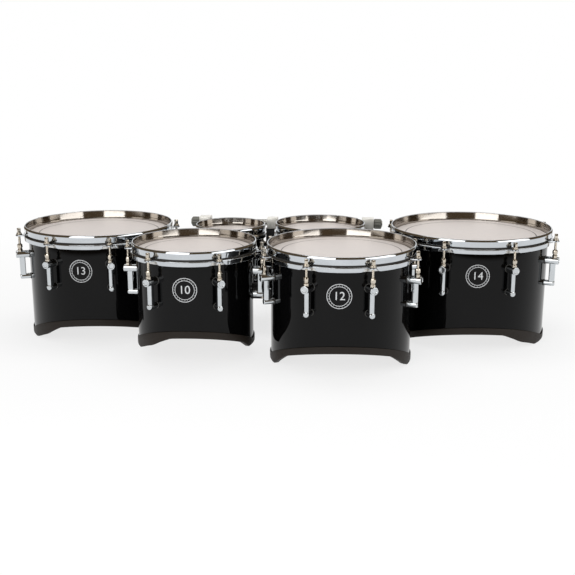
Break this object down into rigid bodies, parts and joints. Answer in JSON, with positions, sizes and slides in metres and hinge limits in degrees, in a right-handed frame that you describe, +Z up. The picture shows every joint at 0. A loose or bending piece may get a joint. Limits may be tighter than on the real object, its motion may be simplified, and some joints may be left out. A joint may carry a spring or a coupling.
{
  "type": "marching tenor drums",
  "caption": "Marching tenor drum set: open-bottomed drums in an arc on one frame, with chromed hoops, lugs, edge guards and a rear bar for a carrier.",
  "frame": {"origin": "middle of the set's bounding box, on the floor", "axes": "+X to the right seen from the audience, -Y towards the audience, +Z up"},
  "size_m": [1.2612, 0.6064, 0.257],
  "materials": {
    "lacquered_shell": "gloss black lacquer",
    "edge_rubber": "moulded, matt",
    "drum_head": "coated polyester film",
    "chromed_steel": "bright chrome",
    "plated_steel": "bright plated",
    "coated_metal": "black powder coat",
    "knob_plastic": "moulded, fluted"
  },
  "bodies": {
    "root": {"tenor13_shell": "lacquered_shell", "tenor13_edge_guard": "edge_rubber", "tenor13_head": "drum_head", "tenor13_hoop": "chromed_steel", "tenor13_spacer": "coated_metal", "tenor13_bolt_lower": "plated_steel", "tenor13_bolt_upper": "plated_steel", "tenor10_shell": "lacquered_shell", "tenor10_edge_guard": "edge_rubber", "tenor10_head": "drum_head", "tenor10_hoop": "chromed_steel", "tenor10_spacer": "coated_metal", "tenor10_bolt_lower": "plated_steel", "tenor10_bolt_upper": "plated_steel", "tenor12_shell": "lacquered_shell", "tenor12_edge_guard": "edge_rubber", "tenor12_head": "drum_head", "tenor12_hoop": "chromed_steel", "tenor12_spacer": "coated_metal", "tenor12_bolt_lower": "plated_steel", "tenor12_bolt_upper": "plated_steel", "tenor14_shell": "lacquered_shell", "tenor14_edge_guard": "edge_rubber", "tenor14_head": "drum_head", "tenor14_hoop": "chromed_steel", "tenor14_spacer": "coated_metal", "tenor14_bolt_lower": "plated_steel", "tenor14_bolt_upper": "plated_steel", "tenor6_shell": "lacquered_shell", "tenor6_edge_guard": "edge_rubber", "tenor6_head": "drum_head", "tenor6_hoop": "chromed_steel", "tenor6_spacer": "coated_metal", "tenor6_bolt_lower": "plated_steel", "tenor6_bolt_upper": "plated_steel", "tenor8_shell": "lacquered_shell", "tenor8_edge_guard": "edge_rubber", "tenor8_head": "drum_head", "tenor8_hoop": "chromed_steel", "tenor8_spacer": "coated_metal", "tenor8_bolt_lower": "plated_steel", "tenor8_bolt_upper": "plated_steel", "spine": "coated_metal", "carrier_arm": "coated_metal", "arm_bolt_lower": "plated_steel", "arm_bolt_upper": "plated_steel", "centre_clamp": "plated_steel", "clamp_bolt_lower": "plated_steel", "clamp_bolt_upper": "plated_steel", "rear_bar": "chromed_steel"},
    "clamp_left": {"side_clamp_left": "plated_steel"},
    "clamp_right": {"side_clamp_right": "plated_steel"},
    "knob_left": {"clamp_knob_left": "knob_plastic"},
    "knob_right": {"clamp_knob_right": "knob_plastic"}
  },
  "joints": [
    {"name": "clamp_left_slide", "type": "slide", "parent": "root", "child": "clamp_left", "axis": [1, 0, 0], "range_m": [0, 0.04]},
    {"name": "clamp_right_slide", "type": "slide", "parent": "root", "child": "clamp_right", "axis": [-1, 0, 0], "range_m": [0, 0.04]},
    {"name": "knob_left_turn", "type": "hinge", "parent": "clamp_left", "child": "knob_left", "pos_m": [-0.2522, 0.28564, 0.2205], "axis": [1, 0, 0], "continuous": true},
    {"name": "knob_right_turn", "type": "hinge", "parent": "clamp_right", "child": "knob_right", "pos_m": [0.2208, 0.28564, 0.2205], "axis": [-1, 0, 0], "continuous": true}
  ]
}
